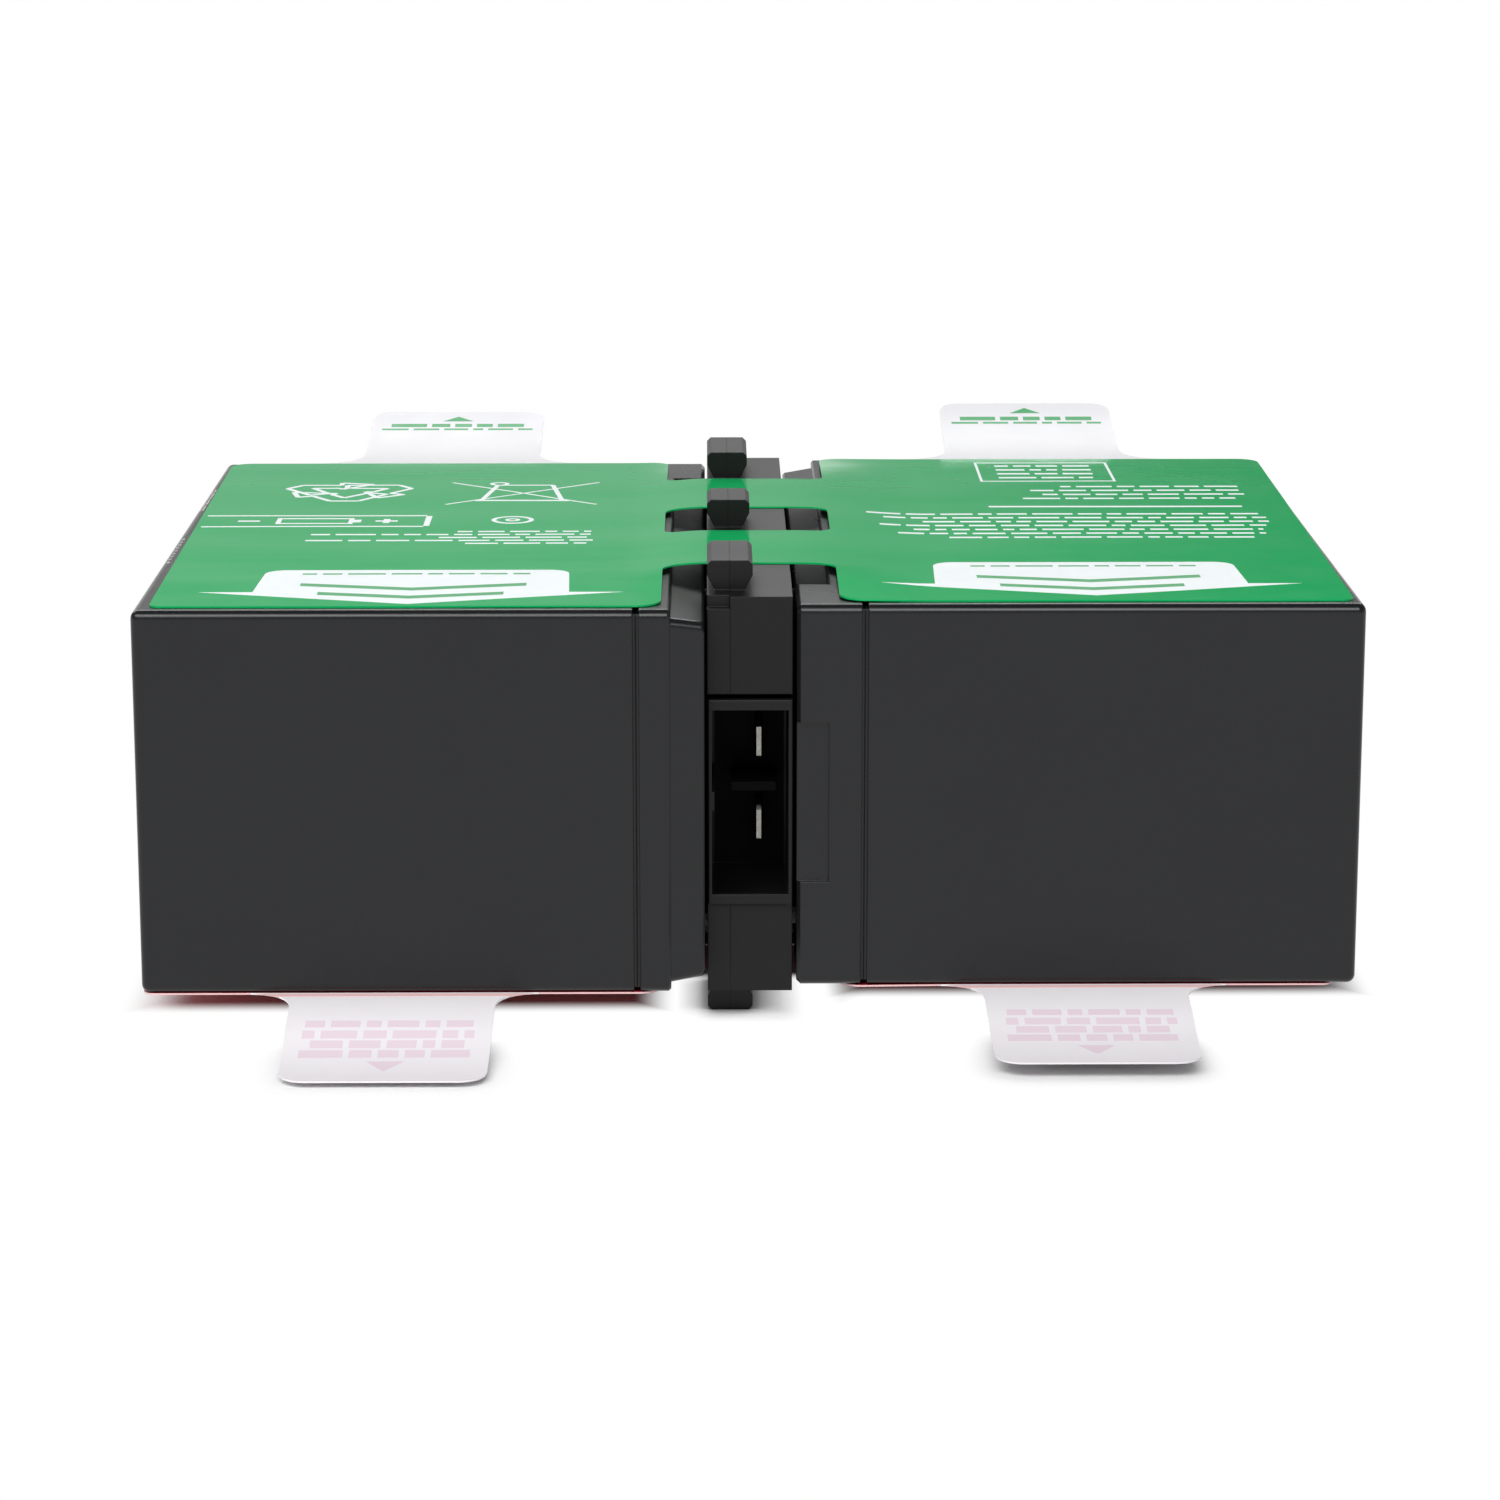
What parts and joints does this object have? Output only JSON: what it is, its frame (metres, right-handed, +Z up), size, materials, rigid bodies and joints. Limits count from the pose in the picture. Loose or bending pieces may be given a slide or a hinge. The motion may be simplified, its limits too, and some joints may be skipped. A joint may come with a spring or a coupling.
{
  "type": "ups battery cartridge",
  "caption": "Flat cartridge of two sealed lead-acid blocks laid lid to lid on a plastic spine with a blade socket, tied by film labels with pull tabs; it slides into a backup power supply.",
  "frame": {"origin": "on the plane the cartridge stands on, under the middle of its whole outline", "axes": "+X to the right-hand block, +Y from the socket to the back, +Z up"},
  "size_m": [0.2032, 0.2212, 0.0774],
  "materials": {
    "case_plastic": "moulded, satin",
    "spine_plastic": "moulded, fine matt",
    "green_film": "gloss laminated film",
    "red_film": "gloss laminated film",
    "tinned_brass": "stamped, tin plated",
    "lead": "cast, dull",
    "positive_paste": "pasted, dull",
    "glass_mat": "glass fibre mat",
    "rubber_cap": "moulded",
    "seal_resin": "poured resin"
  },
  "bodies": {
    "root": {"bottom_label": "red_film", "left_case": "case_plastic", "left_lid": "case_plastic", "left_negative_plates": "lead", "left_negative_receptacle": "tinned_brass", "left_negative_terminal": "tinned_brass", "left_positive_plates": "positive_paste", "left_positive_receptacle": "tinned_brass", "left_positive_terminal": "tinned_brass", "left_separators": "glass_mat", "left_straps": "lead", "left_terminal_seals": "seal_resin", "left_valve_caps": "rubber_cap", "left_vent_cover": "case_plastic", "negative_bus": "tinned_brass", "positive_bus": "tinned_brass", "right_case": "case_plastic", "right_lid": "case_plastic", "right_negative_plates": "lead", "right_negative_receptacle": "tinned_brass", "right_negative_terminal": "tinned_brass", "right_positive_plates": "positive_paste", "right_positive_receptacle": "tinned_brass", "right_positive_terminal": "tinned_brass", "right_separators": "glass_mat", "right_straps": "lead", "right_terminal_seals": "seal_resin", "right_valve_caps": "rubber_cap", "right_vent_cover": "case_plastic", "series_link": "tinned_brass", "socket_housing": "spine_plastic", "spine_left_shell": "spine_plastic", "spine_right_shell": "spine_plastic", "top_label": "green_film"}
  },
  "joints": []
}
